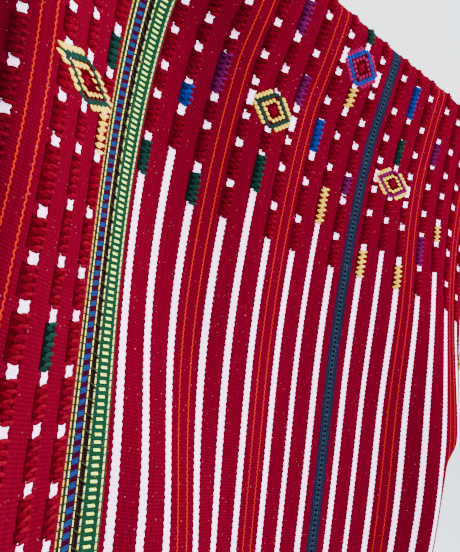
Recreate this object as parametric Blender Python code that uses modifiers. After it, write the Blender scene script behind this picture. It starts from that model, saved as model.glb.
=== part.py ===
# Huipil blouse on a hanger: three loom-woven strips, each folded over the shoulders, sewn side by side.
# Millimetres along the flat cloth unless a line says otherwise. u runs across from the centre line
# and v runs down from the shoulder fold. +X is the wearer's left, -Y the front and +Z up.

import math

import bmesh
import bpy
import numpy as np

MM = 0.001

# The flat cut
CENTRE_HALF = 114.5
SIDE_WIDTH = 229.0
HALF_WIDTH = CENTRE_HALF + SIDE_WIDTH
LENGTH = 620.0
NECK_HALF = 96.0
NECK_FRONT = 105.0
NECK_BACK = 50.0
ARMHOLE = 200.0
WALL = 1.6
SEAM_GAP = 0.4

# The hanging form
SHOULDER_RADIUS = 9.8  # of the outer face where the cloth turns over the hanger
EDGE_DEPTH = 2.0  # from the middle plane to the outer face at the closed side seam
CLOSE_SLOPE = 0.9  # of front and back as they draw together towards the side seam
CLOSE_ROUND = 5.0
CLOSE_V = 140.0  # the drawing together begins here and is whole where the armhole ends
OPEN_DEPTH = 60.0  # room that the cloth has above CLOSE_V before it would close
SWELL = 63.5  # how far the centre stands out from the shoulder's depth
SWELL_LENGTH = 330.0
SWELL_POWER = 1.35
FOLDS_TOP = 16.0  # folds begin here, clear of the hanger
FOLDS_REACH = 46.0  # and reach full depth over this length
LEAN_TOP = 13.1  # degrees that the seam leans inwards at the shoulder
LEAN_LOW = -1.0
LEAN_LENGTH = 114.0
SLOPE_MIDDLE = 9.95  # degrees that the weft falls, halfway along the side panel
SLOPE_OUT = -8.25
SLOPE_TWIST = -2.7
SLOPE_U = (174.0, 110.0)  # where the slope's terms are centred, and their reach
SLOPE_V = (187.0, 187.0)
SLOPE_FLAT = 66.0  # the weft levels out within this of the centre line
DROOP = 34.0  # degrees more fall past the hanger's end
DROOP_START = 262.0
DROOP_WIDTH = 55.0
DROOP_LENGTH = 260.0
DROOP_EASED = 0.8  # the share of the droop that is gone at its length
STEEPEST = 0.03  # the least share of its width that cloth running in or out still shows, squared

# Folds: centre across and down, half width, half length, depth outwards on the wearer's left front,
# and the share of that depth on the right front, the left back and the right back
FOLDS = [
    (87.0, 234.0, 21.2, 131.0, 10.6, 1.0, 1.0, 1.0),
    (66.5, 127.0, 22.0, 50.0, 6.5, 0.6, 0.7, 0.9),
    (124.5, 82.0, 26.5, 91.0, -9.8, 1.0, 0.3, 0.3),
    (139.0, 223.0, 14.4, 43.0, 5.8, 0.6, 0.8, 0.5),
    (158.0, 245.0, 13.2, 42.0, 4.7, 0.9, 0.6, 1.0),
    (152.0, 176.0, 30.0, 117.0, -11.5, 0.8, 0.5, 0.7),
    (201.5, 162.0, 29.0, 133.0, -7.2, 1.1, -0.6, 0.8),
    (268.0, 129.0, 21.0, 42.0, 4.4, -0.5, 1.2, 0.6),
    (291.0, 166.0, 14.3, 95.0, 5.2, 0.7, 0.9, 0.6),
    (280.0, 226.0, 25.0, 86.0, 9.7, 0.9, 0.7, 1.0),
    (312.0, 235.0, 22.0, 110.0, 24.3, 0.8, 0.8, 0.8),
    (150.0, 500.0, 24.0, 170.0, 13.0, 0.8, 0.7, 1.1),
    (214.0, 490.0, 22.0, 180.0, -9.0, 1.1, 0.9, 0.7),
    (268.0, 520.0, 22.0, 170.0, 10.0, 0.7, 1.0, 0.8),
]
CENTRE_FOLD_WIDTH = 37.4  # from the middle ridge to the hollow beside it
CENTRE_FOLD_FADE = (68.4, 108.2)  # the middle folds flatten between these distances from the centre line
CENTRE_FOLD_MOST = 17.0  # the deepest that they can be

# The hanger
ARM_RADIUS = 7.8
ARM_REACH = 236.0
HOOK_WIRE = 1.8  # radius
HOOK_RADIUS = 19.0  # of the wire's middle line
HOOK_RISE = 62.0  # from the arms' middle line to the middle of the bend
HOOK_SEAT = 0.3
HOOK_STEM = 12.0  # the straight stem
HOOK_NECK = (1.62, 1.32, 0.1)  # bend radii: the bend's start and end below its middle, and its way aside
HOOK_START = -62.0  # degrees at which the round bend starts
HOOK_SWEEP = 258.0
HOOK_PIECES = 20
ARM_PIECES = 30

# How finely the cloth is cut into faces
SIDE_COLUMNS = 14
CENTRE_COLUMNS = 7
SHOULDER_ROWS = 5
NECK_ROWS = 6
ROW_STEP = 34.0
FINE_CENTRE = 58  # points of the fine lists across half the centre strip and across a side strip
FINE_SIDE = 116
FINE_DOWN = 1.0  # millimetres between points down the seam
HALVINGS = 18


def ease(t):
    """0 before 0, 1 after 1 and smooth between."""
    t = np.clip(t, 0.0, 1.0)
    return t * t * (3.0 - 2.0 * t)


def fold_share(fold, side, face):
    """The share of a fold's depth on one quarter: side 1 is the wearer's left, face 1 the front."""
    return {(1, 1): 1.0, (-1, 1): fold[5], (1, -1): fold[6], (-1, -1): fold[7]}[(side, face)]


def outer_depth(u, v, side=1, face=1, centre_fold=0.0):
    """How far the outer face stands from the hanger's plane."""
    turn = SHOULDER_RADIUS * np.sin(np.minimum(v / SHOULDER_RADIUS, math.pi / 2))
    swell = SWELL * ease(v / SWELL_LENGTH) * (1.0 - (u / HALF_WIDTH) ** SWELL_POWER)
    folds = 0.0
    for fold in FOLDS:
        across, down, width, length, depth = fold[:5]
        bell = np.exp(-(((u - across) / width) ** 2) - ((v - down) / length) ** 2)
        folds = folds + depth * fold_share(fold, side, face) * bell
    fade = (u - CENTRE_FOLD_FADE[0]) / (CENTRE_FOLD_FADE[1] - CENTRE_FOLD_FADE[0])
    middle = np.cos(math.pi * u / CENTRE_FOLD_WIDTH) * (1.0 - ease(fade))
    begun = ease((v - FOLDS_TOP) / FOLDS_REACH)
    hanging = turn + swell + (folds + face * centre_fold * middle) * begun
    open_above = OPEN_DEPTH * (1.0 - ease((v - CLOSE_V) / (ARMHOLE - CLOSE_V)))
    closing = EDGE_DEPTH + CLOSE_SLOPE * (HALF_WIDTH - u) + open_above
    depth = (hanging + closing - np.sqrt((hanging - closing) ** 2 + CLOSE_ROUND**2)) / 2.0
    return np.maximum(depth, np.minimum(turn, EDGE_DEPTH))


def weft_slope(u, v):
    """The fall of the weft, in radians, positive downwards away from the centre line."""
    across = np.clip((u - SLOPE_U[0]) / SLOPE_U[1], -1.0, 1.3)
    down = np.clip((v - SLOPE_V[0]) / SLOPE_V[1], -1.0, 0.5)
    degrees = SLOPE_MIDDLE + SLOPE_OUT * across + SLOPE_TWIST * across * down
    past_hanger = ease((u - DROOP_START) / DROOP_WIDTH) * (1.0 - DROOP_EASED * ease(v / DROOP_LENGTH))
    return np.radians(degrees * ease(u / SLOPE_FLAT) + DROOP * past_hanger)


def running_sum(values, step):
    """The trapezium sum of values along their last axis, from nought."""
    parts = (values[..., 1:] + values[..., :-1]) * step / 2.0
    return np.concatenate([np.zeros(values.shape[:-1] + (1,)), np.cumsum(parts, axis=-1)], axis=-1)


def seam_line():
    """The place of the seam between centre and side panels, for each v of a fine list."""
    v = np.arange(0.0, LENGTH + FINE_DOWN, FINE_DOWN)
    depth = outer_depth(np.array(CENTRE_HALF), v)
    along = np.sqrt(np.clip(1.0 - np.gradient(depth, v) ** 2, 0.0, 1.0))
    lean = np.radians(LEAN_LOW + (LEAN_TOP - LEAN_LOW) * np.exp(-v / LEAN_LENGTH))
    u = np.linspace(0.0, CENTRE_HALF, FINE_CENTRE)
    start = running_sum(np.cos(weft_slope(u, 0.0)), u[1])[-1]
    inwards = running_sum(along * np.sin(lean), FINE_DOWN)
    downwards = running_sum(along * np.cos(lean), FINE_DOWN)
    return v, start - inwards, -downwards


SEAM = seam_line()


def row_steps(u, v, centre_fold=0.0):
    """Steps along X and Z for each millimetre of weft, shortened where the weft runs in or out."""
    bend = np.gradient(outer_depth(u, v, centre_fold=centre_fold), u)
    flat = np.sqrt(np.clip(1.0 - bend**2, STEEPEST, 1.0))
    slope = weft_slope(u, v)
    return flat * np.cos(slope), -flat * np.sin(slope)


def centre_fold_depth(v, seam_x):
    """The depth of the middle folds that take up the centre panel's spare width, by halving."""
    u = np.linspace(0.0, CENTRE_HALF, FINE_CENTRE)
    low, high = 0.0, CENTRE_FOLD_MOST
    for _ in range(HALVINGS):
        tried = (low + high) / 2.0
        width = running_sum(row_steps(u, v, tried)[0], u[1])[-1]
        low, high = (tried, high) if width > seam_x else (low, tried)
    return low


def row(v):
    """The fine list of u along one row, its X and Z, and the depth of its middle folds."""
    seam_x = float(np.interp(v, SEAM[0], SEAM[1]))
    seam_z = float(np.interp(v, SEAM[0], SEAM[2]))
    middle = centre_fold_depth(v, seam_x)
    inner = np.linspace(0.0, CENTRE_HALF, FINE_CENTRE)
    outer = np.linspace(CENTRE_HALF, HALF_WIDTH, FINE_SIDE)
    step_x, step_z = row_steps(inner, v, middle)
    inner_x = running_sum(step_x, inner[1])
    inner_z = running_sum(step_z, inner[1])
    scale = seam_x / inner_x[-1]
    step_x, step_z = row_steps(outer, v)
    outer_x = seam_x + running_sum(step_x, outer[1] - outer[0])
    outer_z = seam_z + running_sum(step_z, outer[1] - outer[0])
    u = np.concatenate([inner[:-1], outer])
    x = np.concatenate([inner_x[:-1] * scale, outer_x])
    z = np.concatenate([inner_z[:-1] - inner_z[-1] + seam_z, outer_z])
    return u, x, z, middle


def top_of_arms():
    """How far the arms' middle line lies above the shoulder end of the seam, at the centre."""
    u, _, z, _ = row(0.0)
    return float(np.interp(0.0, u, z)) - SHOULDER_RADIUS


HANG = top_of_arms() + HOOK_RISE + HOOK_RADIUS - HOOK_WIRE  # from the origin down to the seam's top


def cloth_rows():
    """(v, face, neck half width) for every row, from the back hem over the shoulder to the front hem."""
    turn = SHOULDER_RADIUS * math.pi / 2
    rows = []
    for face, neck in ((-1, NECK_BACK), (1, NECK_FRONT)):
        first = math.asin(turn / neck)
        below = math.ceil((LENGTH - neck) / ROW_STEP)
        down = [turn * k / SHOULDER_ROWS for k in range(1, SHOULDER_ROWS + 1)]
        quarter = math.pi / 2 - first
        down += [neck * math.sin(first + quarter * k / NECK_ROWS) for k in range(1, NECK_ROWS + 1)]
        down += [neck + (LENGTH - neck) * k / below for k in range(1, below + 1)]
        opening = [NECK_HALF * math.sqrt(max(1.0 - (v / neck) ** 2, 0.0)) for v in down]
        rows.append([(v, face, 0.0 if gap < 1.0 else gap) for v, gap in zip(down, opening)])
    return rows[0][::-1] + [(0.0, 1, NECK_HALF)] + rows[1]


def strip(first_u, last_u, columns, side, rows, bm=None):
    """Adds a grid from first_u(neck) to last_u over all rows to bm, bent to the hanging form."""
    bm = bm or bmesh.new()
    grid = bmesh.ops.create_grid(bm, x_segments=columns, y_segments=len(rows) - 1, size=0.5)["verts"]
    lines = [row(v) for v, _, _ in rows]
    for vert in grid:
        i = round((vert.co.x + 0.5) * columns)
        j = round((vert.co.y + 0.5) * (len(rows) - 1))
        v, face, neck = rows[j]
        fine_u, x, z, middle = lines[j]
        start = first_u(neck)
        u = start + (last_u - start) * i / columns
        depth = float(outer_depth(np.array(u), v, side, face, middle if u < CENTRE_HALF else 0.0))
        place = (side * np.interp(u, fine_u, x), -face * depth, np.interp(u, fine_u, z) - HANG)
        vert.co = [float(p) * MM for p in place]
    return bm


def finish_cloth(name, bm, colour):
    """Turns the faces outwards, makes the object and gives the cloth its thickness inwards."""
    bmesh.ops.remove_doubles(bm, verts=bm.verts, dist=0.00002)
    bm.faces.ensure_lookup_table()
    low_front = min(bm.faces, key=lambda f: f.calc_center_median().z - (f.calc_center_median().y < 0))
    bmesh.ops.recalc_face_normals(bm, faces=bm.faces)
    if low_front.normal.y > 0:
        bmesh.ops.reverse_faces(bm, faces=bm.faces)
    mesh = bpy.data.meshes.new(name)
    bm.to_mesh(mesh)
    bm.free()
    obj = bpy.data.objects.new(name, mesh)
    obj.data.materials.append(material(name, colour, 0.85))
    wall = obj.modifiers.new("wall", "SOLIDIFY")
    wall.thickness = WALL * MM
    wall.offset = -1.0
    wall.use_even_offset = True
    return obj


def material(name, colour, roughness, metallic=0.0):
    """A Principled material of one colour."""
    made = bpy.data.materials.new(name)
    made.use_nodes = True
    shader = made.node_tree.nodes["Principled BSDF"]
    shader.inputs["Base Color"].default_value = (*colour, 1.0)
    shader.inputs["Roughness"].default_value = roughness
    shader.inputs["Metallic"].default_value = metallic
    return made


def side_panel(name, side, rows):
    """One outer strip, from the seam to the armhole and side seam."""
    inner = CENTRE_HALF + SEAM_GAP / 2
    bm = strip(lambda neck: inner, HALF_WIDTH, SIDE_COLUMNS, side, rows)
    return finish_cloth(name, bm, (0.34, 0.004, 0.02))


def centre_panel(name, rows):
    """The middle strip: two halves that meet on the centre line and part round the neck."""
    outer = CENTRE_HALF - SEAM_GAP / 2
    bm = strip(lambda neck: neck, outer, CENTRE_COLUMNS, 1, rows)
    bm = strip(lambda neck: neck, outer, CENTRE_COLUMNS, -1, rows, bm)
    return finish_cloth(name, bm, (0.36, 0.005, 0.03))


def tube(name, points, radius, roundness, colour, roughness, metallic):
    """A round bar along points, with closed ends."""
    curve = bpy.data.curves.new(name, "CURVE")
    curve.dimensions = "3D"
    curve.bevel_depth = radius * MM
    curve.bevel_resolution = roundness
    curve.use_fill_caps = True
    spline = curve.splines.new("POLY")
    spline.points.add(len(points) - 1)
    for point, (x, y, z) in zip(spline.points, points):
        point.co = (x * MM, y * MM, z * MM, 1.0)
    obj = bpy.data.objects.new(name, curve)
    obj.data.materials.append(material(name, colour, roughness, metallic))
    return obj


def hanger_arms():
    """A round wooden bar that follows the shoulder fold from one end to the other."""
    u, x, z, _ = row(0.0)
    reach = np.linspace(-ARM_REACH, ARM_REACH, ARM_PIECES + 1)
    points = []
    for place in reach:
        height = float(np.interp(abs(place), u, z)) - SHOULDER_RADIUS - HANG
        points.append((math.copysign(float(np.interp(abs(place), u, x)), place), 0.0, height))
    return tube("hanger_arms", points, ARM_RADIUS, 4, (0.45, 0.27, 0.13), 0.5, 0.0)


def hanger_hook():
    """A bent wire: a stem above the arms and a round hook whose inner top is the origin."""
    middle = HOOK_WIRE - HOOK_RADIUS
    foot = middle - HOOK_RISE + ARM_RADIUS + HOOK_SEAT
    lower, upper, aside = (share * HOOK_RADIUS for share in HOOK_NECK)
    points = [(0.0, 0.0, foot), (0.0, 0.0, foot + HOOK_STEM), (0.0, 0.0, middle - lower)]
    points += [(aside, 0.0, middle - upper)]
    for k in range(HOOK_PIECES + 1):
        angle = math.radians(HOOK_START + HOOK_SWEEP * k / HOOK_PIECES)
        points.append((HOOK_RADIUS * math.cos(angle), 0.0, middle + HOOK_RADIUS * math.sin(angle)))
    return tube("hanger_hook", points, HOOK_WIRE, 2, (0.6, 0.6, 0.62), 0.3, 1.0)


def main():
    for obj in list(bpy.data.objects):
        bpy.data.objects.remove(obj, do_unlink=True)
    parts = bpy.data.collections.new("huipil_on_hanger")
    bpy.context.scene.collection.children.link(parts)
    rows = cloth_rows()
    for obj in (
        centre_panel("centre_panel", rows),
        side_panel("side_panel_left", 1, rows),
        side_panel("side_panel_right", -1, rows),
        hanger_arms(),
        hanger_hook(),
    ):
        parts.objects.link(obj)


main()
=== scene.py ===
# Huipil blouse on a hanger, dressed: woven stripes, brocade, seams, hems, hanger, floor, light and camera.
# Cloth places are u, millimetres across from the centre line, and v, millimetres down from the shoulder.

import math
import random

import bmesh
import bpy
import numpy as np
from mathutils import Matrix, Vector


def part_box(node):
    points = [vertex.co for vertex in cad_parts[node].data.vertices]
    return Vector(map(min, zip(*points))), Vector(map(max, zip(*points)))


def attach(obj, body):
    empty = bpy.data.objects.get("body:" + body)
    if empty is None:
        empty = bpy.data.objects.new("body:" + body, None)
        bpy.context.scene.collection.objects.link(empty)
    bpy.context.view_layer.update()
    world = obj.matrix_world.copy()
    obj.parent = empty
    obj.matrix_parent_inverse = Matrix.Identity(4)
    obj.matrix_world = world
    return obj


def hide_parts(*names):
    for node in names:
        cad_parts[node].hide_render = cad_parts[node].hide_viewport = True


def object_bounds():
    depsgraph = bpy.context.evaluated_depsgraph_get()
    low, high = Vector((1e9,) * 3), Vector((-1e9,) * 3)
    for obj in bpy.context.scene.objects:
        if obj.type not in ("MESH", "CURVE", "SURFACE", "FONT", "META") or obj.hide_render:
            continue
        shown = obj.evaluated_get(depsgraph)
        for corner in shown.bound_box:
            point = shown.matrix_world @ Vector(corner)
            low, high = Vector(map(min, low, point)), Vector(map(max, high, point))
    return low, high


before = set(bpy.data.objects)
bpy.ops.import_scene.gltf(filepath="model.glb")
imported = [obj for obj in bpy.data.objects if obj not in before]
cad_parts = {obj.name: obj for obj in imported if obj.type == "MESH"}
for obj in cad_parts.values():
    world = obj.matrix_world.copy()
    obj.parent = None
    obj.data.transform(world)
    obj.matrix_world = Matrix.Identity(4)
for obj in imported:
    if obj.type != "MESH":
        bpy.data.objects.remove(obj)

MM = 0.001
CAD_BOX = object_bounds()
CHANCE = random.Random(7)

# The flat cut, as in the solids
CENTRE_HALF = 114.5
SIDE_WIDTH = 229.0
HALF_WIDTH = CENTRE_HALF + SIDE_WIDTH
PANEL_HALF = 114.5
LENGTH = 620.0
NECK_HALF = 96.0
NECK_FRONT = 105.0
NECK_BACK = 50.0
ARMHOLE = 200.0
CLOTH = 1.0  # how thick the cloth looks at its edges
SEAM_GAP = 0.4

# The hanging form, as in the solids
SHOULDER_RADIUS = 9.8
EDGE_DEPTH = 2.0
CLOSE_SLOPE = 0.9
CLOSE_ROUND = 5.0
CLOSE_V = 140.0
OPEN_DEPTH = 60.0
SWELL = 63.5
SWELL_LENGTH = 330.0
SWELL_POWER = 1.35
FOLDS_TOP = 16.0
FOLDS_REACH = 46.0
LEAN_TOP = 13.1
LEAN_LOW = -1.0
LEAN_LENGTH = 114.0
SLOPE_MIDDLE = 9.95
SLOPE_OUT = -8.25
SLOPE_TWIST = -2.7
SLOPE_U = (174.0, 110.0)
SLOPE_V = (187.0, 187.0)
SLOPE_FLAT = 66.0
DROOP = 34.0
DROOP_START = 262.0
DROOP_WIDTH = 55.0
DROOP_LENGTH = 260.0
DROOP_EASED = 0.8
STEEPEST = 0.03
CENTRE_FOLD_WIDTH = 37.4
CENTRE_FOLD_FADE = (68.4, 108.2)
CENTRE_FOLD_MOST = 17.0
FINE_CENTRE = 58
FINE_SIDE = 116
FINE_DOWN = 1.0
HALVINGS = 18

# Folds: centre across and down, half width, half length, depth outwards on the wearer's left front,
# and the share of that depth on the right front, the left back and the right back
FOLDS = [
    (87.0, 234.0, 21.2, 131.0, 10.6, 1.0, 1.0, 1.0),
    (66.5, 127.0, 22.0, 50.0, 6.5, 0.6, 0.7, 0.9),
    (124.5, 82.0, 26.5, 91.0, -9.8, 1.0, 0.3, 0.3),
    (139.0, 223.0, 14.4, 43.0, 5.8, 0.6, 0.8, 0.5),
    (158.0, 245.0, 13.2, 42.0, 4.7, 0.9, 0.6, 1.0),
    (152.0, 176.0, 30.0, 117.0, -11.5, 0.8, 0.5, 0.7),
    (201.5, 162.0, 29.0, 133.0, -7.2, 1.1, -0.6, 0.8),
    (268.0, 129.0, 21.0, 42.0, 4.4, -0.5, 1.2, 0.6),
    (291.0, 166.0, 14.3, 95.0, 5.2, 0.7, 0.9, 0.6),
    (280.0, 226.0, 25.0, 86.0, 9.7, 0.9, 0.7, 1.0),
    (312.0, 235.0, 22.0, 110.0, 24.3, 0.8, 0.8, 0.8),
    (150.0, 500.0, 24.0, 170.0, 13.0, 0.8, 0.7, 1.1),
    (214.0, 490.0, 22.0, 180.0, -9.0, 1.1, 0.9, 0.7),
    (268.0, 520.0, 22.0, 170.0, 10.0, 0.7, 1.0, 0.8),
]

# The weave: a pick is one weft thread, and the teeth of the stripes and the rungs of the bands take two
PICK = 1.027
TWO_PICKS = 2.0 * PICK
STRIPE = 2.65
STRIPES = [7.8, 18.8, 29.8, 44.1, 55.1, 66.1, 80.4, 91.4, 102.4]  # from a panel's middle
MIDDLE_STRIPES = (18.8, 55.1, 91.4)  # their brocade ends one window row higher
THREADS = [34.7, 39.1, 71.0, 75.4]  # thin orange lines, from a panel's middle
WINDOW_ROWS = [6.0, 19.4, 37.1, 51.1, 62.6, 77.2, 88.8, 105.6, 121.2]
CENTRE_ROWS = [
    [82.0, 98.0, 112.0, 127.0, 145.0, 163.0, 175.0, 190.0, 205.0, 219.0, 232.0],
    [86.0, 100.0, 117.0, 130.0, 147.0, 163.0, 177.0, 193.0, 205.0, 218.0, 231.0],
    [93.0, 105.0, 121.0, 134.0, 154.0, 166.0, 178.0, 193.0, 206.0, 219.0, 232.0],
]
WINDOW = 2.7  # how much white a window shows
STITCH_ROW = 1.2  # between the rows of a brocaded run
# painted shade: the dark runs of yarn under the brocade, set a little to the left so that a dark edge shows
# on the stitches' left
SHADE_BED_WIDTH = 4.3
SHADE_BED_SHIFT = -0.45
# painted shade: the low stitches lie to the left of the high ones and are drawn in a darker copy of their
# yarn
HIGH_SHIFT = 0.7  # how far off the stripe's middle the high stitches lie
LOW_SHIFT = -0.5
PAINTED_LOW_SHADE = 0.72  # how dark the lower stitches are
STEEP_WEFT = 300.0  # how far down the weft of the edge bands runs steeply
BAR_EASE = 0.7  # how far the barred band's bars are turned square
RUNG_EASE = 0.4  # the ladder's share of that
BAR_PERIOD = 1.5 * TWO_PICKS
THREAD_HALF = 0.24  # half the width of an orange line
SEAM_STITCH = 4.2  # between the stitches of a seam
THREAD_SIDES = 5

# Base colours, linear red, green and blue
RED = (0.066, 0.0003, 0.0053)
# painted shade: the dark red under the red and yellow brocade
PAINTED_SHADE_RED = (0.03, 0.0002, 0.0018)
BROCADE_RED = (0.105, 0.0004, 0.0068)
WHITE = (0.95, 0.66, 0.98)
ORANGE = (0.27, 0.006, 0.0)
GREEN = (0.0048, 0.0225, 0.017)
BLUE = (0.0024, 0.0185, 0.165)
PURPLE = (0.092, 0.0021, 0.047)
YELLOW = (0.88, 0.46, 0.02)
PINK = (0.17, 0.0045, 0.04)
NAVY = (0.0045, 0.0031, 0.0165)
TEAL = (0.0085, 0.021, 0.031)
BLACK = (0.0016, 0.0014, 0.002)
BAR_BLUE = (0.0035, 0.0175, 0.085)
BAR_MAROON = (0.0195, 0.0003, 0.0068)
# near-black along each panel's edge, inside its edge band
BAND_EDGE_BLACK = (0.011, 0.0045, 0.0045)
BAND_GREEN = (0.0028, 0.0232, 0.0119)
DEEP_GREEN = (0.0045, 0.0094, 0.0055)
CREAM = (0.6, 0.78, 0.05)
CHAIN = (0.6, 0.6, 0.13)
GOLD = (0.55, 0.22, 0.02)
FLECK = (0.5, 0.12, 0.2)
SEAM_THREAD = (0.018, 0.02, 0.01)
WOOD = (0.6, 0.4, 0.22)
DARK_WOOD = (0.38, 0.22, 0.1)
STEEL = (0.62, 0.62, 0.64)
COLOURS = {"red": BROCADE_RED, "green": GREEN, "blue": BLUE, "purple": PURPLE, "yellow": YELLOW, "pink": PINK}


def ease(t):
    """0 before 0, 1 after 1 and smooth between."""
    t = np.clip(t, 0.0, 1.0)
    return t * t * (3.0 - 2.0 * t)


def rgba(colour, share=1.0):
    """A base colour, or a share of it, with full alpha."""
    return tuple(min(c * share, 1.0) for c in colour) + (1.0,)


# The form of the hanging cloth, worked out as the solids' is

def fold_share(fold, side, face):
    """The share of a fold's depth on one quarter: side 1 is the wearer's left, face 1 the front."""
    return {(1, 1): 1.0, (-1, 1): fold[5], (1, -1): fold[6], (-1, -1): fold[7]}[(side, face)]


def outer_depth(u, v, side=1, face=1, centre_fold=0.0):
    """How far the outer face stands from the hanger's plane."""
    turn = SHOULDER_RADIUS * np.sin(np.minimum(v / SHOULDER_RADIUS, math.pi / 2))
    swell = SWELL * ease(v / SWELL_LENGTH) * (1.0 - (u / HALF_WIDTH) ** SWELL_POWER)
    folds = 0.0
    for fold in FOLDS:
        across, down, width, length, depth = fold[:5]
        bell = np.exp(-(((u - across) / width) ** 2) - ((v - down) / length) ** 2)
        folds = folds + depth * fold_share(fold, side, face) * bell
    fade = (u - CENTRE_FOLD_FADE[0]) / (CENTRE_FOLD_FADE[1] - CENTRE_FOLD_FADE[0])
    middle = np.cos(math.pi * u / CENTRE_FOLD_WIDTH) * (1.0 - ease(fade))
    begun = ease((v - FOLDS_TOP) / FOLDS_REACH)
    hanging = turn + swell + (folds + face * centre_fold * middle) * begun
    open_above = OPEN_DEPTH * (1.0 - ease((v - CLOSE_V) / (ARMHOLE - CLOSE_V)))
    closing = EDGE_DEPTH + CLOSE_SLOPE * (HALF_WIDTH - u) + open_above
    depth = (hanging + closing - np.sqrt((hanging - closing) ** 2 + CLOSE_ROUND**2)) / 2.0
    return np.maximum(depth, np.minimum(turn, EDGE_DEPTH))


def weft_slope(u, v):
    """The fall of the weft, in radians, positive downwards away from the centre line."""
    across = np.clip((u - SLOPE_U[0]) / SLOPE_U[1], -1.0, 1.3)
    down = np.clip((v - SLOPE_V[0]) / SLOPE_V[1], -1.0, 0.5)
    degrees = SLOPE_MIDDLE + SLOPE_OUT * across + SLOPE_TWIST * across * down
    past_hanger = ease((u - DROOP_START) / DROOP_WIDTH) * (1.0 - DROOP_EASED * ease(v / DROOP_LENGTH))
    return np.radians(degrees * ease(u / SLOPE_FLAT) + DROOP * past_hanger)


def running_sum(values, step):
    """The trapezium sum of values along their last axis, from nought."""
    parts = (values[..., 1:] + values[..., :-1]) * step / 2.0
    return np.concatenate([np.zeros(values.shape[:-1] + (1,)), np.cumsum(parts, axis=-1)], axis=-1)


def seam_line():
    """The place of the seam between centre and side panels, for each v of a fine list."""
    v = np.arange(0.0, LENGTH + FINE_DOWN, FINE_DOWN)
    depth = outer_depth(np.array(CENTRE_HALF), v)
    along = np.sqrt(np.clip(1.0 - np.gradient(depth, v) ** 2, 0.0, 1.0))
    lean = np.radians(LEAN_LOW + (LEAN_TOP - LEAN_LOW) * np.exp(-v / LEAN_LENGTH))
    u = np.linspace(0.0, CENTRE_HALF, FINE_CENTRE)
    start = running_sum(np.cos(weft_slope(u, 0.0)), u[1])[-1]
    inwards = running_sum(along * np.sin(lean), FINE_DOWN)
    downwards = running_sum(along * np.cos(lean), FINE_DOWN)
    return v, start - inwards, -downwards


SEAM = seam_line()


def row_steps(u, v, centre_fold=0.0):
    """Steps along X and Z for each millimetre of weft, shortened where the weft runs in or out."""
    bend = np.gradient(outer_depth(u, v, centre_fold=centre_fold), u)
    flat = np.sqrt(np.clip(1.0 - bend**2, STEEPEST, 1.0))
    slope = weft_slope(u, v)
    return flat * np.cos(slope), -flat * np.sin(slope)


def centre_fold_depth(v, seam_x):
    """The depth of the middle folds that take up the centre panel's spare width, by halving."""
    u = np.linspace(0.0, CENTRE_HALF, FINE_CENTRE)
    low, high = 0.0, CENTRE_FOLD_MOST
    for _ in range(HALVINGS):
        tried = (low + high) / 2.0
        width = running_sum(row_steps(u, v, tried)[0], u[1])[-1]
        low, high = (tried, high) if width > seam_x else (low, tried)
    return low


def row(v):
    """The fine list of u along one row, its X and Z, and the depth of its middle folds."""
    seam_x = float(np.interp(v, SEAM[0], SEAM[1]))
    seam_z = float(np.interp(v, SEAM[0], SEAM[2]))
    middle = centre_fold_depth(v, seam_x)
    inner = np.linspace(0.0, CENTRE_HALF, FINE_CENTRE)
    outer = np.linspace(CENTRE_HALF, HALF_WIDTH, FINE_SIDE)
    step_x, step_z = row_steps(inner, v, middle)
    inner_x = running_sum(step_x, inner[1])
    inner_z = running_sum(step_z, inner[1])
    scale = seam_x / inner_x[-1]
    step_x, step_z = row_steps(outer, v)
    outer_x = seam_x + running_sum(step_x, outer[1] - outer[0])
    outer_z = seam_z + running_sum(step_z, outer[1] - outer[0])
    u = np.concatenate([inner[:-1], outer])
    x = np.concatenate([inner_x[:-1] * scale, outer_x])
    z = np.concatenate([inner_z[:-1] - inner_z[-1] + seam_z, outer_z])
    return u, x, z, middle


# The solids say where the cloth hangs: their highest cloth point is the shoulder at the seam's inner end
GRID_U = np.linspace(0.0, HALF_WIDTH, 230)
GRID_V = np.concatenate([np.arange(0.0, 16.0, 1.0), np.arange(16.0, LENGTH + 0.1, 2.0)])


def cloth_grids():
    """Positions and outward normals of each quarter's outer face over the fine grid, in millimetres."""
    lines = [row(float(v)) for v in GRID_V]
    x = np.array([np.interp(GRID_U, line[0], line[1]) for line in lines])
    z = np.array([np.interp(GRID_U, line[0], line[2]) for line in lines])
    middle = np.array([line[3] for line in lines])[:, None] * (GRID_U[None, :] < CENTRE_HALF)
    neck_z = float(np.interp(NECK_HALF, GRID_U, z[0]))
    hang = neck_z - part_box("centre_panel")[1][2] / MM
    grids = {}
    for side in (1, -1):
        for face in (1, -1):
            depth = outer_depth(GRID_U[None, :], GRID_V[:, None], side, face, middle)
            place = np.stack([side * x, -face * depth, z - hang], axis=-1)
            by_u = np.gradient(place, GRID_U, axis=1)
            by_v = np.gradient(place, GRID_V, axis=0)
            out = np.cross(by_v, by_u) * side * face
            out /= np.linalg.norm(out, axis=-1, keepdims=True)
            grids[(side, face)] = (place, out)
    return grids


GRIDS = cloth_grids()


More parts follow.
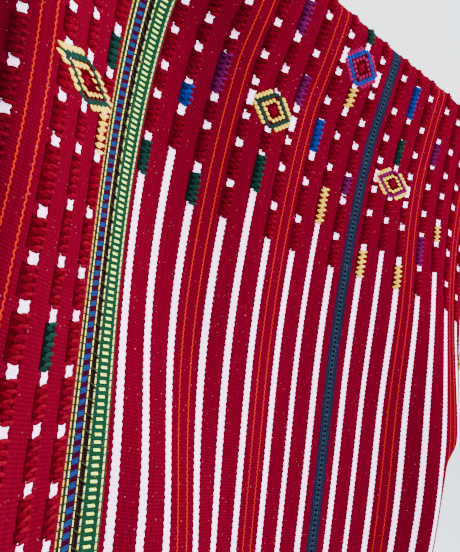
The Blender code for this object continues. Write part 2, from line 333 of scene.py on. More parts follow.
def on_cloth(u, v, height=0.0):
    """Points over the cloth: u is signed by side, v is negative on the back, height is outwards."""
    u = np.asarray(u, float)
    v = np.asarray(v, float)
    u, v, height = np.broadcast_arrays(u, v, np.asarray(height, float))
    points = np.zeros(u.shape + (3,))
    for side in (1, -1):
        for face in (1, -1):
            mine = (np.where(u < 0.0, -1, 1) == side) & (np.where(v < 0.0, -1, 1) == face)
            if not mine.any():
                continue
            i = np.clip(np.abs(u[mine]) / (GRID_U[1] - GRID_U[0]), 0.0, len(GRID_U) - 1.001)
            j = np.clip(np.interp(np.abs(v[mine]), GRID_V, np.arange(len(GRID_V))), 0.0, len(GRID_V) - 1.001)
            left = i.astype(int)
            top = j.astype(int)
            a = (i - left)[:, None]
            b = (j - top)[:, None]
            both = []
            for grid in GRIDS[(side, face)]:
                upper = grid[top, left] * (1 - a) + grid[top, left + 1] * a
                lower = grid[top + 1, left] * (1 - a) + grid[top + 1, left + 1] * a
                both.append(upper * (1 - b) + lower * b)
            points[mine] = both[0] + both[1] * height[mine][:, None]
    return points * MM


# Meshes

def mesh_object(name, points, faces, materials, face_material=None):
    """An object from points and faces, smooth, with one material or one for each face."""
    mesh = bpy.data.meshes.new(name)
    mesh.from_pydata([tuple(p) for p in points], [], faces)
    for made in materials:
        mesh.materials.append(made)
    if face_material is not None:
        mesh.polygons.foreach_set("material_index", face_material)
    mesh.shade_smooth()
    obj = bpy.data.objects.new(name, mesh)
    bpy.context.scene.collection.objects.link(obj)
    return obj


def own(piece, slot, *nodes):
    """Makes a piece ride on the body and stand for the given solids, which it hides. The slot is not used."""
    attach(piece, "root")
    if nodes:
        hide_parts(*nodes)
    return piece


def neck_edge(v, face):
    """Half the width of the neck opening at v."""
    reach = NECK_FRONT if face > 0 else NECK_BACK
    return NECK_HALF * math.sqrt(max(1.0 - (v / reach) ** 2, 0.0)) if v < reach else 0.0


def cloth_rows(face):
    """Distances down for the rows of a cloth piece, finer over the shoulder and round the neck."""
    reach = NECK_FRONT if face > 0 else NECK_BACK
    turn = list(np.arange(0.0, 16.0, 1.25))
    first = math.asin(16.0 / reach)
    round_neck = [reach * math.sin(first + (math.pi / 2 - first) * k / 40) for k in range(41)]
    below = list(np.linspace(reach, LENGTH, int((LENGTH - reach) / 3.0)))[1:]
    return turn + round_neck + below


def cloth_piece(name, panel, face, made):
    """The front or back half of one strip, its outer face on the form, with its flat places as UVs."""
    rows = cloth_rows(face)
    halves = [(1.0, 38), (-1.0, 38)] if panel == 0 else [(float(panel), 76)]
    points = []
    places = []
    faces = []
    for side, columns in halves:
        first = len(points)
        for v in rows:
            start = neck_edge(v, face) if panel == 0 else CENTRE_HALF + SEAM_GAP / 2
            end = CENTRE_HALF - SEAM_GAP / 2 if panel == 0 else HALF_WIDTH
            u = np.linspace(start, end, columns + 1) * side
            points.extend(on_cloth(u + side * 1e-6, np.full(len(u), face * max(v, 1e-6))))
            middle = 0.0 if panel == 0 else side * (CENTRE_HALF + PANEL_HALF)
            places.extend([((a - middle) / (2 * PANEL_HALF) + 0.5, 1.0 - v / LENGTH) for a in u])
        for j in range(len(rows) - 1):
            for i in range(columns):
                a = first + j * (columns + 1) + i
                quad = (a, a + 1, a + columns + 2, a + columns + 1)
                faces.append(quad if side * face < 0 else quad[::-1])
    obj = mesh_object(name, points, faces, [made])
    layer = obj.data.uv_layers.new(name="cloth")
    for loop in obj.data.loops:
        layer.data[loop.index].uv = places[loop.vertex_index]
    if panel == 0:
        bm = bmesh.new()
        bm.from_mesh(obj.data)
        bmesh.ops.remove_doubles(bm, verts=bm.verts, dist=0.00001)
        bm.to_mesh(obj.data)
        bm.free()
    wall = obj.modifiers.new("wall", "SOLIDIFY")
    wall.thickness = CLOTH * MM
    wall.offset = -1.0
    return obj


# Materials

class Nodes:
    """Short ways to build a material's nodes."""

    def __init__(self, name, roughness, specular=0.0):
        self.material = bpy.data.materials.new(name)
        self.material.use_nodes = True
        self.tree = self.material.node_tree
        self.shader = self.tree.nodes["Principled BSDF"]
        self.shader.inputs["Roughness"].default_value = roughness
        self.shader.inputs["Specular IOR Level"].default_value = specular

    def new(self, kind, **values):
        node = self.tree.nodes.new(kind)
        for key, value in values.items():
            setattr(node, key, value)
        return node

    def link(self, source, target):
        self.tree.links.new(source, target)

    def maths(self, operation, first, second=None, clamp=False):
        node = self.new("ShaderNodeMath", operation=operation, use_clamp=clamp)
        for socket, value in zip(node.inputs, (first, second)):
            if isinstance(value, (int, float)):
                socket.default_value = value
            elif value is not None:
                self.link(value, socket)
        return node.outputs[0]

    def mix(self, factor, first, second, blend="MIX"):
        node = self.new("ShaderNodeMix", data_type="RGBA", blend_type=blend)
        for socket, value in zip((node.inputs[0], node.inputs[6], node.inputs[7]), (factor, first, second)):
            if isinstance(value, (int, float)):
                socket.default_value = value
            elif isinstance(value, tuple):
                socket.default_value = value
            else:
                self.link(value, socket)
        return node.outputs[2]

    def noise(self, vector, scale, detail=2.0, roughness=0.5):
        node = self.new("ShaderNodeTexNoise")
        node.inputs["Scale"].default_value = scale
        node.inputs["Detail"].default_value = detail
        node.inputs["Roughness"].default_value = roughness
        self.link(vector, node.inputs["Vector"])
        return node.outputs["Fac"]

    def steps(self, value, reach, stops):
        """Flat colours by value: stops are (where it starts, colour), value runs from 0 to reach."""
        node = self.new("ShaderNodeValToRGB")
        node.color_ramp.interpolation = "CONSTANT"
        node.color_ramp.elements.remove(node.color_ramp.elements[1])
        for count, (start, colour) in enumerate(stops):
            place = start / reach
            element = node.color_ramp.elements[0] if count == 0 else node.color_ramp.elements.new(place)
            element.position = place
            element.color = rgba(colour)
        self.link(self.maths("DIVIDE", value, reach), node.inputs[0])
        return node.outputs[0]

    def bump(self, height, strength, distance):
        node = self.new("ShaderNodeBump")
        node.inputs["Strength"].default_value = strength
        node.inputs["Distance"].default_value = distance
        self.link(height, node.inputs["Height"])
        self.link(node.outputs[0], self.shader.inputs["Normal"])


def cloth_places(nodes):
    """Across from the strip's middle and down from the shoulder, in millimetres, and both as a vector."""
    place = nodes.new("ShaderNodeUVMap", uv_map="cloth").outputs[0]
    split = nodes.new("ShaderNodeSeparateXYZ")
    nodes.link(place, split.inputs[0])
    across = nodes.maths("MULTIPLY", nodes.maths("SUBTRACT", split.outputs[0], 0.5), 2 * PANEL_HALF)
    down = nodes.maths("MULTIPLY", nodes.maths("SUBTRACT", 1.0, split.outputs[1]), LENGTH)
    return across, down


def stretched(nodes, across, down, width, length):
    """A vector in which one unit is width across and length down."""
    node = nodes.new("ShaderNodeCombineXYZ")
    nodes.link(nodes.maths("DIVIDE", across, width), node.inputs[0])
    nodes.link(nodes.maths("DIVIDE", down, length), node.inputs[1])
    return node.outputs[0]


def wave(nodes, value, period, shift=0.0):
    """A sine between 0 and 1 along value."""
    turned = nodes.maths("MULTIPLY", nodes.maths("ADD", value, shift), 2 * math.pi / period)
    return nodes.maths("ADD", nodes.maths("MULTIPLY", nodes.maths("SINE", turned), 0.5), 0.5)


def stripe_stops():
    """Where each flat colour of the plain weave starts, from the strip's middle outwards."""
    stops = [(0.0, RED)]
    edges = [(d - STRIPE / 2, WHITE, d + STRIPE / 2) for d in STRIPES]
    for start, colour, end in sorted(edges):
        stops += [(start, colour), (end, RED)]
    return stops


def cloth_material(name, barred_edges):
    """The woven strip: stripes, threads, middle band and edge bands, with ribs and small flecks."""
    nodes = Nodes(name, 0.85)
    across, down = cloth_places(nodes)
    pick = wave(nodes, down, TWO_PICKS)
    tooth = nodes.maths("MULTIPLY", nodes.maths("SUBTRACT", pick, 0.5), 0.34)
    dist = nodes.maths("ADD", nodes.maths("ABSOLUTE", across), tooth)
    edge = nodes.maths("SUBTRACT", PANEL_HALF, dist)
    colour = nodes.steps(dist, PANEL_HALF, stripe_stops())
    for place in THREADS:
        colour = nodes.mix(near(nodes, dist, place, THREAD_HALF), colour, rgba(ORANGE))
    colour = middle_band(nodes, colour, dist, down)
    colour = (barred_band if barred_edges else ladder_band)(nodes, colour, edge, down)
    # Streaks along the warp, small flecks, and painted shade between picks and between warp threads
    streak = nodes.noise(stretched(nodes, across, down, 0.9, 40.0), 1.0, 3.0)
    tone = nodes.maths("ADD", nodes.maths("MULTIPLY", streak, 0.5), 0.75)
    rib = wave(nodes, down, PICK)
    warp = wave(nodes, across, 0.62)
    # painted shade: darker between picks and between warp threads
    tone = nodes.maths("MULTIPLY", tone, nodes.maths("ADD", nodes.maths("MULTIPLY", rib, 0.16), 0.88))
    tone = nodes.maths("MULTIPLY", tone, nodes.maths("ADD", nodes.maths("MULTIPLY", warp, 0.08), 0.95))
    streaks_and_painted_shade = nodes.new("ShaderNodeCombineColor")
    for socket in streaks_and_painted_shade.inputs[:3]:
        nodes.link(tone, socket)
    colour = nodes.mix(1.0, colour, streaks_and_painted_shade.outputs[0], "MULTIPLY")
    speck = nodes.noise(stretched(nodes, across, down, 0.7, 0.9), 1.0, 1.0)
    speck = nodes.maths("MULTIPLY", nodes.maths("GREATER_THAN", speck, 0.75), 0.4)
    colour = nodes.mix(speck, colour, rgba(FLECK))
    nodes.link(colour, nodes.shader.inputs["Base Color"])
    height = nodes.maths("ADD", nodes.maths("MULTIPLY", rib, 0.6), nodes.maths("MULTIPLY", warp, 0.4))
    nodes.bump(height, 0.55, 0.0004)
    return nodes.material


def middle_band(nodes, colour, dist, down):
    """The navy band down a strip's middle: teal lines and a dark ladder."""
    rung = nodes.maths("GREATER_THAN", wave(nodes, down, TWO_PICKS), 0.45)
    ladder = nodes.mix(rung, rgba(TEAL), rgba(BLACK))
    lines = nodes.steps(dist, 3.2, [(0.0, BLACK), (0.75, TEAL), (1.05, NAVY), (1.75, TEAL), (2.0, NAVY)])
    inside = nodes.mix(nodes.maths("LESS_THAN", dist, 0.7), lines, ladder)
    return nodes.mix(nodes.maths("LESS_THAN", dist, 2.85), colour, inside)


def near(nodes, value, middle, half):
    """1 where value lies within half of middle."""
    off = nodes.maths("ABSOLUTE", nodes.maths("SUBTRACT", value, middle))
    return nodes.maths("LESS_THAN", off, half)


def chain_line(nodes, colour, edge, down, middle, half, thread, ground):
    """A thin line of slanting stitches that wavers from side to side, on a dark ground."""
    swing = nodes.maths("MULTIPLY", nodes.maths("SUBTRACT", wave(nodes, down, TWO_PICKS), 0.5), 1.5 * half)
    place = nodes.maths("ADD", edge, swing)
    knot = nodes.maths("GREATER_THAN", wave(nodes, down, TWO_PICKS, 0.4), 0.1)
    colour = nodes.mix(near(nodes, edge, middle, half * 2.0), colour, rgba(ground))
    on_line = nodes.maths("MULTIPLY", near(nodes, place, middle, half), knot)
    return nodes.mix(on_line, colour, rgba(thread))


def bar_place(nodes, edge, down, sense):
    """Down the band, eased so that its bars lie square to it where the weft runs steeply."""
    share = nodes.maths("SUBTRACT", 1.0, nodes.maths("DIVIDE", down, STEEP_WEFT), clamp=True)
    rise = nodes.maths("MULTIPLY", edge, sense * BAR_EASE)
    return nodes.maths("ADD", down, nodes.maths("MULTIPLY", share, rise))


def ladder_band(nodes, colour, edge, down):
    """The green band along a side strip's edges: cream rungs on green between two chain lines."""
    place = bar_place(nodes, edge, down, RUNG_EASE)
    rung = nodes.maths("GREATER_THAN", wave(nodes, place, TWO_PICKS), 0.72)
    band = nodes.mix(near(nodes, edge, 4.9, 4.1), rgba(BAND_EDGE_BLACK), rgba(BAND_GREEN))
    band = nodes.mix(nodes.maths("MULTIPLY", near(nodes, edge, 4.7, 1.3), rung), band, rgba(CREAM))
    band = chain_line(nodes, band, edge, down, 1.4, 0.3, CHAIN, BAND_GREEN)
    band = chain_line(nodes, band, edge, down, 7.9, 0.28, CHAIN, BAND_GREEN)
    return nodes.mix(nodes.maths("LESS_THAN", edge, 8.7), colour, band)


def barred_band(nodes, colour, edge, down):
    """The band along the centre strip's edges: blue and maroon bars between chain lines."""
    place = bar_place(nodes, edge, down, -1.0)
    bar = nodes.maths("GREATER_THAN", wave(nodes, place, BAR_PERIOD), 0.45)
    band = nodes.mix(near(nodes, edge, 6.0, 2.9), rgba(BAND_EDGE_BLACK), rgba(DEEP_GREEN))
    band = nodes.mix(near(nodes, edge, 4.0, 1.4), band, nodes.mix(bar, rgba(BAR_BLUE), rgba(BAR_MAROON)))
    band = chain_line(nodes, band, edge, down, 1.7, 0.22, CHAIN, BAND_EDGE_BLACK)
    band = chain_line(nodes, band, edge, down, 6.3, 0.26, CHAIN, DEEP_GREEN)
    band = chain_line(nodes, band, edge, down, 8.2, 0.28, GOLD, DEEP_GREEN)
    return nodes.mix(nodes.maths("LESS_THAN", edge, 8.8), colour, band)


def yarn_material(name, colour, roughness=0.8):
    """Plump cotton yarn: fine strands of lighter and darker tone."""
    nodes = Nodes(name, roughness)
    place = nodes.new("ShaderNodeTexCoord").outputs["Object"]
    strands = nodes.noise(place, 1300.0, 3.0, 0.65)
    patches = nodes.noise(place, 220.0, 2.0)
    both = nodes.maths("ADD", nodes.maths("MULTIPLY", strands, 1.1), nodes.maths("MULTIPLY", patches, 0.7))
    dark = rgba(colour, 0.35)
    light = rgba(colour, 1.5)
    nodes.link(nodes.mix(nodes.maths("SUBTRACT", both, 0.4, clamp=True), dark, light),
               nodes.shader.inputs["Base Color"])
    nodes.bump(strands, 0.7, 0.0006)
    return nodes.material


def wood_material():
    """Oiled wood whose grain runs along the arms."""
    nodes = Nodes("hanger_wood", 0.42, 0.4)
    place = nodes.new("ShaderNodeTexCoord").outputs["Object"]
    node = nodes.new("ShaderNodeMapping")
    nodes.link(place, node.inputs["Vector"])
    node.inputs["Scale"].default_value = (12.0, 420.0, 420.0)
    grain = nodes.noise(node.outputs[0], 1.0, 4.0, 0.6)
    nodes.link(nodes.mix(grain, rgba(DARK_WOOD), rgba(WOOD)), nodes.shader.inputs["Base Color"])
    nodes.bump(grain, 0.15, 0.0002)
    return nodes.material


def steel_material():
    """Brushed steel wire."""
    nodes = Nodes("hook_steel", 0.28, 0.5)
    nodes.shader.inputs["Metallic"].default_value = 1.0
    place = nodes.new("ShaderNodeTexCoord").outputs["Object"]
    brushed = nodes.noise(place, 900.0, 2.0)
    nodes.link(nodes.mix(brushed, rgba(STEEL, 0.75), rgba(STEEL)), nodes.shader.inputs["Base Color"])
    return nodes.material


# The brocade

def stitch_shape():
    """One plump stitch as a pointed dome: across and down from -1 to 1, and height from 0 to 1."""
    along = np.linspace(-1.0, 1.0, 5)
    over = (-1.0, 0.0, 1.0)
    points = []
    for s in along:
        girth = math.sqrt(max(1.0 - abs(s) ** 1.9, 0.0))
        for t in over:
            points.append((s, t * girth, math.sqrt(max(1.0 - t * t, 0.0)) * girth))
    faces = [(i * 3 + j, i * 3 + j + 1, (i + 1) * 3 + j + 1, (i + 1) * 3 + j)
             for i in range(4) for j in range(2)]
    return np.array(points), faces


STITCH_POINTS, STITCH_FACES = stitch_shape()


class Brocade:
    """Gathers stitches and the dark runs of yarn under them, which are painted shade, and makes them into one
    piece.
    """

    def __init__(self):
        self.points = []
        self.faces = []
        self.shades = []
        self.count = 0

    def add(self, points, faces, shade):
        self.points.append(points)
        self.faces.extend([tuple(self.count + k for k in face) for face in faces])
        self.shades.extend([shade] * len(faces))
        self.count += len(points)

    def stitch(self, u, v, width, height, slant, shade, thick=0.62):
        """One stitch at u, v: slant is how far its right end lies above its left end."""
        s, t, h = STITCH_POINTS.T
        across = u + s * width / 2
        down = v - s * slant / 2 + t * TWO_PICKS * thick
        self.add(on_cloth(across, down, 0.05 + h * height), STITCH_FACES, shade)

    def shade_bed(self, u, first, last, width, shade, pointed=False):
        """A flat run of yarn under the stitches in a dark colour: painted shade that shows between and beside
        them, so that no white shows there.
        """
        v = np.linspace(first, last, max(3, int(abs(last - first) / 4.0) + 2))
        half = np.full(len(v), width / 2)
        if pointed:
            half = width / 2 * (1.0 - np.abs(np.linspace(-1.0, 1.0, len(v))))
        rows = [on_cloth(u + a * half, v, 0.18) for a in (-1.0, 0.0, 1.0)]
        points = np.concatenate(rows)
        n = len(v)
        faces = [(k * n + j, k * n + j + 1, (k + 1) * n + j + 1, (k + 1) * n + j)
                 for k in range(2) for j in range(n - 1)]
        self.add(points, faces, shade)

    def finish(self, name, shades):
        order = list(shades)
        obj = mesh_object(name, np.concatenate(self.points), self.faces, [YARNS[s] for s in order],
                          [order.index(s) for s in self.shades])
        return obj


def run_of_stitches(brocade, u, first, last, colour):
    """Stitches of one colour down a stripe from first to last, high ones and low ones by turns, the low ones
    darker as painted shade.
    """
    inwards = math.copysign(0.5, last - first)
    # The dark run under the stitches is painted shade between and beside them
    shade_bed = "gap" if colour in ("red", "yellow") else colour + " gap"
    brocade.shade_bed(u + SHADE_BED_SHIFT, first + inwards, last - inwards, SHADE_BED_WIDTH, shade_bed)
    rows = max(1, round(abs(last - first) / STITCH_ROW))
    for k in range(rows):
        v = first + (last - first) * (k + 0.5) / rows + CHANCE.uniform(-0.12, 0.12)
        high = k % 2 == 0
        shift = (HIGH_SHIFT if high else LOW_SHIFT) + CHANCE.uniform(-0.2, 0.2)
        wide = CHANCE.uniform(3.7, 4.4)
        rise = CHANCE.uniform(0.95, 1.15) if high else 0.8
        slant = (1.0 if high else 0.0) + CHANCE.uniform(-0.3, 0.3)
        # painted shade: a low stitch takes the darker copy of its yarn
        shade = colour if high else colour + " low"
        brocade.stitch(u + shift, v, wide, rise, slant, shade, CHANCE.uniform(0.3, 0.38))


def centre_rows(index):
    """The window rows down a stripe of the centre strip, counted from its seam."""
    rows = WINDOW_ROWS[:5] + CENTRE_ROWS[min(index, len(CENTRE_ROWS) - 1)]
    steps = (13.5, 14.5, 12.5, 15.0, 13.0, 14.0)
    while rows[-1] < LENGTH - 28.0:
        rows.append(rows[-1] + steps[len(rows) % len(steps)])
    return rows


# Motifs, charted on the wearer's left front: blocks are (stripe, first row, last row, colour) down
# a panel, with stripes counted from its inner edge and rows between windows
SIDE_BLOCKS = [
    (0, 107.0, 120.0, "green"), (1, 77.5, 86.5, "blue"),
    (2, 58.5, 75.5, "purple"), (2, 108.0, 120.7, "green"),
    (4, 19.5, 35.0, "purple"), (4, 88.5, 104.0, "green"), (5, 47.5, 61.0, "purple"), (6, 60.0, 75.0, "blue"),
    (7, 8.0, 17.0, "green"), (7, 38.0, 49.0, "yellow"), (7, 87.0, 103.5, "yellow"), (8, 77.0, 86.0, "purple"),
    (9, 107.0, 120.0, "yellow"), (10, 18.5, 36.0, "blue"), (10, 47.5, 61.0, "green"),
    (11, 108.0, 120.0, "yellow"), (12, 38.0, 51.0, "purple"), (12, 89.0, 104.5, "purple"),
    (13, 79.0, 87.5, "yellow"), (15, 52.0, 62.0, "green"),
    (16, 90.0, 104.0, "blue"), (17, 64.0, 76.0, "pink"),
]
SIDE_DIAMONDS = [
    (4, 69.5, 8.3, 1.31, "yellow", "green"), (7, 29.0, 8.6, 1.5, "pink", "blue"),
    (10, 70.5, 9.6, 1.19, "yellow", "purple"), (1, 33.0, 9.5, 1.3, "green", "yellow"),
]


def stripe_places():
    """The stripes of a strip from its inner edge, as distances from its middle, inner ones negative."""
    return sorted([-d for d in STRIPES] + STRIPES)


def is_middle(place):
    """Whether a stripe is the middle one of its three."""
    return abs(place) in MIDDLE_STRIPES


YARNS = {}


def make_yarns():
    for name, colour in COLOURS.items():
        YARNS[name] = yarn_material("yarn_" + name, colour)
        # A darker copy of each yarn for the low stitches: painted shade
        YARNS[name + " low"] = yarn_material("yarn_" + name + "_low_painted_shade", tuple(c * PAINTED_LOW_SHADE for c in colour))
        # A very dark copy of each yarn, painted shade under and beside its stitches
        dark = tuple(c * 0.16 for c in colour)
        YARNS[name + " gap"] = yarn_material("yarn_" + name + "_shade", dark)
    # painted shade under the red and yellow stitches
    YARNS["gap"] = yarn_material("yarn_red_shade", PAINTED_SHADE_RED)
    YARNS["seam"] = yarn_material("seam_thread", SEAM_THREAD)


def diamond(brocade, u, v, half_wide, row, outer, inner):
    """A small diamond over three stripes: a broken outer line, a whole ring, a thin ring and a red middle."""
    # A dark run under the diamond: painted shade between its stitches
    brocade.shade_bed(u, v - 6.0 * row, v + 6.0 * row, 2.0 * half_wide, "gap", pointed=True)
    rings = ((1.25, outer, 0.29, (0, 6)), (0.96, inner, 0.37, ()), (0.62, outer, 0.26, ()))
    for ring, shade, share, skip in rings:
        for k in range(-6, 7):
            away = half_wide * (ring - abs(k) / 6.0)
            if away < -0.2 or abs(k) in skip:
                continue
            for across in ((away, -away) if away > 0.9 else (0.0,)):
                brocade.stitch(u + across, v + k * row, share * half_wide, CHANCE.uniform(0.6, 0.8),
                               CHANCE.uniform(-0.2, 0.3), shade, 0.3 * row)
    for k in (-1, 0, 1):
        brocade.stitch(u, v + k * row, 5.0 - 2.5 * abs(k), 0.55, 0.0, "red", 0.3 * row)


def stripe_run(brocade, u, face, rows, blocks, holes, top):
    """The brocade down one stripe: stitches between windows, coloured where a block lies."""
    edges = [top] + [r for r in rows if r > top + 4.0]
    spans = []
    for first, last in zip(edges[:-1], edges[1:]):
        start = first + (WINDOW / 2 if first > top else 0.0)
        spans.append((start, last - WINDOW / 2, "red"))
    for start, end, colour in blocks:
        spans = [piece for span in spans for piece in cut(span, start, end)] + [(start, end, colour)]
    for start, end in holes:
        spans = [piece for span in spans for piece in cut(span, start, end)]
    for start, end, colour in spans:
        if end - start > 1.2:
            run_of_stitches(brocade, u, face * start, face * end, colour)


def cut(span, start, end):
    """What is left of a span outside start to end."""
    parts = [(span[0], min(span[1], start), span[2]), (max(span[0], end), span[1], span[2])]
    return [part for part in parts if part[1] - part[0] > 0.3]


def diamond_holes(diamonds, index):
    """The stretches of a stripe that a diamond takes up: long at its middle and short at its sides."""
    reach = {0: 6.6, 1: 2.3}
    near_by = [(v, row * reach[abs(i - index)]) for i, v, _, row, _, _ in diamonds if abs(i - index) < 2]
    return [(v - half, v + half) for v, half in near_by]


def side_brocade(side, face):
    """The brocade over one shoulder's front or back."""
    brocade = Brocade()
    places = stripe_places()
    mirror = side * face < 0
    for index, place in enumerate(places):
        u = side * (CENTRE_HALF + PANEL_HALF + place)
        rows = list(WINDOW_ROWS)
        if is_middle(place):
            rows = rows[:-1]
        chart = 17 - index if mirror else index
        blocks = [(a, b, c) for i, a, b, c in SIDE_BLOCKS if i == chart]
        holes = diamond_holes(SIDE_DIAMONDS, chart)
        stripe_run(brocade, u, face, rows, blocks, holes, 0.0)
    for i, v, half_wide, row, outer, inner in SIDE_DIAMONDS:
        index = 17 - i if mirror else i
        u = side * (CENTRE_HALF + PANEL_HALF + places[index])
        diamond(brocade, u, face * v, half_wide, row, outer, inner)
    return brocade


CENTRE_BLOCKS = [
    (0, 84.0, 96.5, "green"), (0, 112.0, 125.5, "yellow"), (1, 179.0, 191.5, "green"),
]
CENTRE_DIAMONDS = [(1, 108.5, 12.3, 1.13, "yellow", "green")]
CENTRE_COLOURS = ("green", "purple", "yellow", "blue", "pink")


def centre_brocade(side, face):
    """The brocade down half of the centre strip, from the neck to the hem."""
    brocade = Brocade()
    seen = side > 0 and face > 0
    for index, d in enumerate(sorted(STRIPES, reverse=True)):
        u = side * d
        rows = centre_rows(index)
        top = 0.0
        reach = NECK_FRONT if face > 0 else NECK_BACK
        if d < NECK_HALF:
            top = reach * math.sqrt(1.0 - (d / NECK_HALF) ** 2) + 2.0
        blocks = [(a, b, c) for i, a, b, c in CENTRE_BLOCKS if i == index] if seen else []
        first = 235.0 if seen else top + 20.0
        chance = random.Random(index * 7 + side + face * 3)
        for start, end in zip(rows[:-1], rows[1:]):
            if start > first and end < LENGTH - 10.0 and chance.random() < 0.13:
                blocks.append((start + WINDOW / 2, end - WINDOW / 2, chance.choice(CENTRE_COLOURS)))
        holes = diamond_holes(CENTRE_DIAMONDS, index) if seen else []
        stripe_run(brocade, u, face, rows + [LENGTH - 6.0], blocks, holes, top)
    if seen:
        for i, v, half_wide, row, outer, inner in CENTRE_DIAMONDS:
            u = side * sorted(STRIPES, reverse=True)[i]
            diamond(brocade, u, face * v, half_wide, row, outer, inner)
    return brocade


# Seams and edges

def thread(mesh, points, radius, shade, closed=False):
    """Adds a thin round thread through points, in metres, to a gathered mesh."""
    points = np.asarray(points, float)
    ahead = np.roll(points, -1, axis=0) - np.roll(points, 1, axis=0)
    if not closed:
        ahead[0] = points[1] - points[0]
        ahead[-1] = points[-1] - points[-2]
    ahead /= np.linalg.norm(ahead, axis=1)[:, None]
    aside = np.cross(ahead, (0.31, 0.87, 0.38))
    aside /= np.linalg.norm(aside, axis=1)[:, None]
    above = np.cross(aside, ahead)
    ring = [2.0 * math.pi * k / THREAD_SIDES for k in range(THREAD_SIDES)]
    around = [points + radius * MM * (math.cos(a) * aside + math.sin(a) * above) for a in ring]
    n = len(points)
    faces = []
    for k in range(THREAD_SIDES):
        after = (k + 1) % THREAD_SIDES
        faces += [(k * n + j, after * n + j, after * n + (j + 1) % n, k * n + (j + 1) % n)
                  for j in range(n if closed else n - 1)]
    mesh.add(np.concatenate(around), faces, shade)


def seam_stitches(mesh, side, face):
    """Small stitches that join the centre strip to a side strip."""
    for v in np.arange(3.0, LENGTH - 2.0, SEAM_STITCH):
        u = side * (CENTRE_HALF + np.array([-1.5, -0.5, 0.5, 1.5]))
        down = face * (v + np.array([0.0, 0.4, 0.9, 1.3]))
        thread(mesh, on_cloth(u, down, np.array([0.05, 0.4, 0.4, 0.05])), 0.3, "seam")


def side_seam(mesh, side):
    """Stitches round the joined edges of front and back, below the armhole."""
    for v in np.arange(ARMHOLE + 1.0, LENGTH - 2.0, SEAM_STITCH):
        edge = side * HALF_WIDTH
        inside = edge - side * 2.2
        front = on_cloth([inside, edge], [v, v + 0.5], [0.2, 0.3])
        back = on_cloth([edge, inside], [-v - 1.0, -v - 1.6], [0.3, 0.2])
        out = np.array([side * 0.5 * MM, 0.0, 0.0])
        thread(mesh, [front[0], front[1] + out, back[0] + out, back[1]], 0.35, "red")


def rolled_edges(mesh):
    """The narrow rolled edges round the neck, the armholes and the hem."""
    angle = np.linspace(0.0, 2.0 * math.pi, 161)[:-1]
    reach = np.where(np.sin(angle) >= 0.0, NECK_FRONT, NECK_BACK)
    neck = on_cloth(NECK_HALF * np.cos(angle), reach * np.sin(angle) + 1e-6, -CLOTH / 2)
    thread(mesh, neck, 0.9, "red", closed=True)
    across = np.linspace(-HALF_WIDTH, HALF_WIDTH, 260)
    for face in (1, -1):
        hem = on_cloth(across, np.full(len(across), face * (LENGTH - 0.5)), -CLOTH / 2)
        thread(mesh, hem, 0.75, "red")
    along = np.linspace(-ARMHOLE, ARMHOLE, 131)
    for side in (1, -1):
        armhole = on_cloth(np.full(len(along), side * (HALF_WIDTH - 0.5)), along, -CLOTH / 2)
        thread(mesh, armhole, 0.7, "red")


def edges_and_seams():
    """All the sewing, as two pieces: the joins, and the rolled edges."""
    joins = Brocade()
    for side in (1, -1):
        for face in (1, -1):
            seam_stitches(joins, side, face)
        side_seam(joins, side)
    edges = Brocade()
    rolled_edges(edges)
    own(joins.finish("seam_stitches", list(YARNS)), "side_cloth")
    own(edges.finish("rolled_edges", list(YARNS)), "centre_cloth")


def dress_hanger():
    """The finishes of the hanger's own solids."""
    for node, made, slot in (("hanger_arms", wood_material(), "hanger_wood"),
                             ("hanger_hook", steel_material(), "hook_steel")):
        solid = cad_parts[node]
        solid.data.materials.clear()
        solid.data.materials.append(made)
        solid.data.shade_smooth()


def main():
    make_yarns()
    centre = cloth_material("centre_weave", True)
    sides = cloth_material("side_weave", False)
    for panel, node, slot, made in (
        (0, "centre_panel", "centre_cloth", centre),
        (1, "side_panel_left", "side_cloth", sides),
        (-1, "side_panel_right", "side_cloth", sides),
    ):
        for face, word in ((1, "front"), (-1, "back")):
            piece = own(cloth_piece(node + "_" + word, panel, face, made), slot, node)
    shades = list(YARNS)
    for side, side_word in ((1, "left"), (-1, "right")):
        for face, word in ((1, "front"), (-1, "back")):
            parts = (("side", "side_cloth", side_brocade), ("centre", "centre_cloth", centre_brocade))
            for kind, slot, made in parts:
                piece = made(side, face).finish(f"{kind}_brocade_{side_word}_{word}", shades)
                own(piece, slot)
    edges_and_seams()
    dress_hanger()
    stage()


LIGHTS = [  # name, place and size in metres, power in watts
    ("window", (1.0, -0.6, 0.45), 0.45, 66.0),
    ("fill", (-1.2, -1.2, -0.4), 1.4, 2.0),
    ("back_light", (0.2, 1.6, 0.5), 1.4, 20.0),
]
WORLD_STRENGTH = 3.0


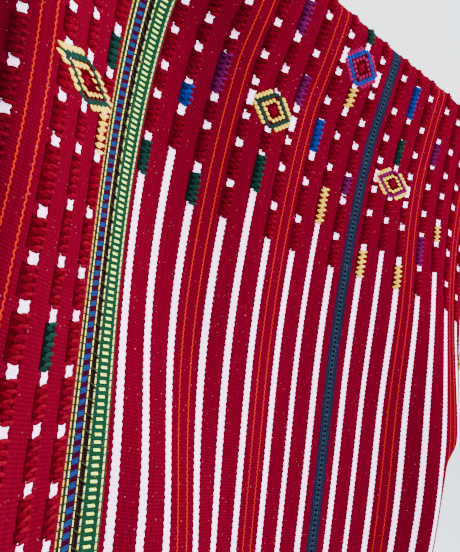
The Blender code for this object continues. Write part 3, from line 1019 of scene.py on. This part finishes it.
def stage():
    """A pale floor, soft light and the camera at the photograph's place."""
    floor_z = CAD_BOX[0][2] - 0.35
    bpy.ops.mesh.primitive_plane_add(size=8.0, location=(0.0, 0.0, floor_z))
    floor = bpy.context.object
    floor.name = "floor"
    nodes = Nodes("floor_pale", 0.9)
    nodes.shader.inputs["Base Color"].default_value = (0.8, 0.83, 0.86, 1.0)
    floor.data.materials.append(nodes.material)
    world = bpy.data.worlds.new("pale_room")
    bpy.context.scene.world = world
    world.use_nodes = True
    world.node_tree.nodes["Background"].inputs[0].default_value = (0.86, 0.93, 1.0, 1.0)
    world.node_tree.nodes["Background"].inputs[1].default_value = WORLD_STRENGTH
    for name, place, size, power in LIGHTS:
        light = bpy.data.lights.new(name, "AREA")
        light.shape = "DISK"
        light.size = size
        light.energy = power
        lamp = bpy.data.objects.new(name, light)
        bpy.context.scene.collection.objects.link(lamp)
        aim = np.array([0.1, 0.0, -0.35]) - np.array(place)
        lamp.matrix_world = facing(place, aim)
    camera()


def facing(place, forward):
    """A matrix at place whose -Z looks along forward, level."""
    forward = np.array(forward, float) / np.linalg.norm(forward)
    right = np.cross(forward, (0.0, 0.0, 1.0))
    right /= np.linalg.norm(right)
    up = np.cross(right, forward)
    turned = Matrix([[right[i], up[i], -forward[i], place[i]] for i in range(3)] + [[0, 0, 0, 1]])
    return turned


# The camera, from the seam's top at the shoulder, in millimetres and degrees
CAMERA_PLACE = (40.0, -178.3, -146.8)
CAMERA_PITCH = 1.145
CAMERA_ROLL = 10.33
CAMERA_YAW = 33.68
CAMERA_LENS = 520.0 / 552.0 * 24.0


def camera():
    """The camera at the photograph's place and angle."""
    pitch, roll, yaw = (math.radians(a) for a in (CAMERA_PITCH, CAMERA_ROLL, CAMERA_YAW))
    forward = np.array([math.sin(yaw) * math.cos(pitch), math.cos(yaw) * math.cos(pitch), math.sin(pitch)])
    level = np.array([math.cos(yaw), -math.sin(yaw), 0.0])
    upright = np.cross(level, forward)
    right = math.cos(roll) * level + math.sin(roll) * upright
    up = -math.sin(roll) * level + math.cos(roll) * upright
    seam_top = on_cloth(CENTRE_HALF, 1e-6)
    place = (CAMERA_PLACE[0] * MM, CAMERA_PLACE[1] * MM, float(seam_top[2]) + CAMERA_PLACE[2] * MM)
    lens = bpy.data.cameras.new("camera")
    lens.sensor_fit = "VERTICAL"
    lens.sensor_height = 24.0
    lens.lens = CAMERA_LENS
    lens.clip_start = 0.01
    view = bpy.data.objects.new("camera", lens)
    bpy.context.scene.collection.objects.link(view)
    view.matrix_world = Matrix([[right[i], up[i], -forward[i], place[i]] for i in range(3)] + [[0, 0, 0, 1]])
    bpy.context.scene.camera = view


main()
